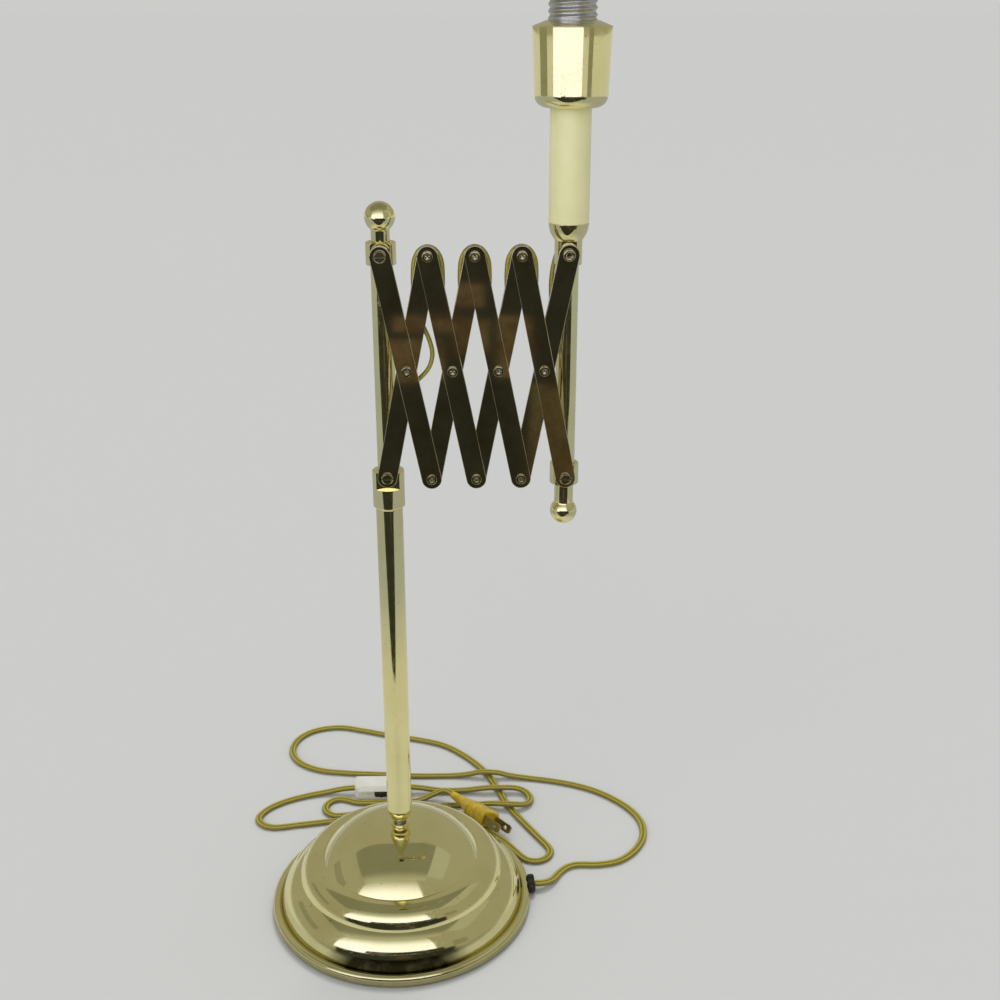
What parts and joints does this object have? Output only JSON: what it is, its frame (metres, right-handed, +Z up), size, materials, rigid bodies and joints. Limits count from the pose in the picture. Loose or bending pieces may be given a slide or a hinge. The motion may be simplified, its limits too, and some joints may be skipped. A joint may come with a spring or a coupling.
{
  "type": "accordion desk lamp",
  "caption": "Table lamp with a stepped weighted base, a post and a folding scissor arm that carries an upright screw lampholder; the free cord has a switch and a plug.",
  "frame": {"origin": "centre of the base's underside, on the post's axis", "axes": "+X along the arm as it extends, +Z up the post, -Y towards the side that shows the pivot heads"},
  "size_m": [0.2996, 0.3178, 0.604],
  "materials": {
    "polished_brass": "polished, pale, lightly worn",
    "link_brass": "polished flat bar with a fine brushed grain",
    "rivet_brass": "turned, slightly tarnished",
    "blade_brass": "satin",
    "iron": "rough cast",
    "felt": "felt",
    "steel": "zinc plated thread",
    "black_nylon": "satin moulded",
    "clear_gold_cord": "clear gold PVC over copper strands",
    "shell_aluminium": "rolled, satin",
    "porcelain": "glazed",
    "ivory_plastic": "moulded, slightly yellowed",
    "brown_plastic": "moulded",
    "amber_pvc": "translucent moulded PVC"
  },
  "bodies": {
    "base": {"base_shell": "polished_brass", "base_weight": "iron", "felt_pad": "felt", "base_nipple": "steel", "base_locknut": "polished_brass", "base_nut": "steel", "base_washer": "steel", "strain_relief": "black_nylon", "cord_inner": "clear_gold_cord", "post": "polished_brass", "cord_lead": "clear_gold_cord", "cord_tail": "clear_gold_cord", "switch_lower": "ivory_plastic", "switch_cover": "ivory_plastic", "switch_screw": "steel", "plug_body": "amber_pvc", "plug_blades": "blade_brass"},
    "mast": {"mast_fitting": "polished_brass", "left_rail": "polished_brass", "left_finial": "polished_brass", "pivot_screw": "rivet_brass", "arm_cord_1": "clear_gold_cord"},
    "back_link_1": {"link_back_1": "link_brass", "arm_cord_2": "clear_gold_cord"},
    "front_link_1": {"link_front_1": "link_brass", "rivets_1": "rivet_brass"},
    "back_link_2": {"link_back_2": "link_brass", "arm_cord_4": "clear_gold_cord"},
    "front_link_2": {"link_front_2": "link_brass", "rivets_2": "rivet_brass", "arm_cord_3": "clear_gold_cord"},
    "back_link_3": {"link_back_3": "link_brass", "arm_cord_6": "clear_gold_cord"},
    "front_link_3": {"link_front_3": "link_brass", "rivets_3": "rivet_brass", "arm_cord_5": "clear_gold_cord"},
    "back_link_4": {"link_back_4": "link_brass", "arm_cord_8": "clear_gold_cord"},
    "front_link_4": {"link_front_4": "link_brass", "rivets_4": "rivet_brass", "arm_cord_7": "clear_gold_cord"},
    "left_slider": {"left_collar": "polished_brass", "left_collar_screw": "rivet_brass"},
    "right_slider": {"right_collar": "polished_brass", "right_collar_screw": "rivet_brass"},
    "lampholder": {"right_fitting": "polished_brass", "pivot_eyelet": "rivet_brass", "right_rail": "polished_brass", "right_finial": "polished_brass", "stem_tube": "polished_brass", "stem_plug": "polished_brass", "cup_nipple": "steel", "cup_nut": "steel", "socket_cup": "polished_brass", "socket_lid": "polished_brass", "socket_body": "porcelain", "screw_shell": "shell_aluminium", "centre_contact": "rivet_brass", "arm_cord_9": "clear_gold_cord"},
    "switch_wheel": {"switch_wheel": "brown_plastic"}
  },
  "joints": [
    {"name": "arm_swivel", "type": "hinge", "parent": "base", "child": "mast", "pos_m": [0, 0, 0.2967], "axis": [0, 0, 1], "range_deg": [-170, 170]},
    {"name": "arm_fold", "type": "hinge", "parent": "mast", "child": "back_link_1", "pos_m": [0, -0.0095, 0.318], "axis": [0, 1, 0], "range_deg": [-5.8, 48.6], "deforming": ["arm_cord_1", "arm_cord_2", "arm_cord_3", "arm_cord_4", "arm_cord_5", "arm_cord_6", "arm_cord_7", "arm_cord_8", "arm_cord_9"]},
    {"name": "crossing_1", "type": "hinge", "parent": "back_link_1", "child": "front_link_1", "pos_m": [0.0135, -0.0095, 0.38541], "axis": [0, 1, 0], "range_deg": [-97.4, 11.8]},
    {"name": "top_pivot_1", "type": "hinge", "parent": "back_link_1", "child": "front_link_2", "pos_m": [0.027, -0.0095, 0.45282], "axis": [0, 1, 0], "range_deg": [-97.4, 11.8]},
    {"name": "crossing_2", "type": "hinge", "parent": "front_link_2", "child": "back_link_2", "pos_m": [0.0405, -0.0095, 0.38541], "axis": [0, 1, 0], "range_deg": [-11.8, 97.4]},
    {"name": "top_pivot_2", "type": "hinge", "parent": "back_link_2", "child": "front_link_3", "pos_m": [0.054, -0.0095, 0.45282], "axis": [0, 1, 0], "range_deg": [-97.4, 11.8]},
    {"name": "crossing_3", "type": "hinge", "parent": "front_link_3", "child": "back_link_3", "pos_m": [0.0675, -0.0095, 0.38541], "axis": [0, 1, 0], "range_deg": [-11.8, 97.4]},
    {"name": "top_pivot_3", "type": "hinge", "parent": "back_link_3", "child": "front_link_4", "pos_m": [0.081, -0.0095, 0.45282], "axis": [0, 1, 0], "range_deg": [-97.4, 11.8]},
    {"name": "crossing_4", "type": "hinge", "parent": "front_link_4", "child": "back_link_4", "pos_m": [0.0945, -0.0095, 0.38541], "axis": [0, 1, 0], "range_deg": [-11.8, 97.4]},
    {"name": "lampholder_pivot", "type": "hinge", "parent": "back_link_4", "child": "lampholder", "pos_m": [0.108, -0.0095, 0.45282], "axis": [0, 1, 0], "range_deg": [-48.7, 5.9]},
    {"name": "left_collar_pivot", "type": "hinge", "parent": "front_link_1", "child": "left_slider", "pos_m": [0, -0.0095, 0.45282], "axis": [0, 1, 0], "range_deg": [-5.9, 48.7]},
    {"name": "right_collar_pivot", "type": "hinge", "parent": "front_link_4", "child": "right_slider", "pos_m": [0.108, -0.0095, 0.318], "axis": [0, 1, 0], "range_deg": [-5.9, 48.7]},
    {"name": "switch_turn", "type": "hinge", "parent": "base", "child": "switch_wheel", "pos_m": [-0.022, 0.127, 0.0059], "axis": [0, 0, 1], "continuous": true}
  ],
  "couplings": [
    {"joint": "crossing_1", "follows": "arm_fold", "ratio": -2},
    {"joint": "top_pivot_1", "follows": "arm_fold", "ratio": -2},
    {"joint": "crossing_2", "follows": "arm_fold", "ratio": 2},
    {"joint": "top_pivot_2", "follows": "arm_fold", "ratio": -2},
    {"joint": "crossing_3", "follows": "arm_fold", "ratio": 2},
    {"joint": "top_pivot_3", "follows": "arm_fold", "ratio": -2},
    {"joint": "crossing_4", "follows": "arm_fold", "ratio": 2},
    {"joint": "lampholder_pivot", "follows": "arm_fold", "ratio": -1},
    {"joint": "left_collar_pivot", "follows": "arm_fold", "ratio": 1},
    {"joint": "right_collar_pivot", "follows": "arm_fold", "ratio": 1}
  ]
}
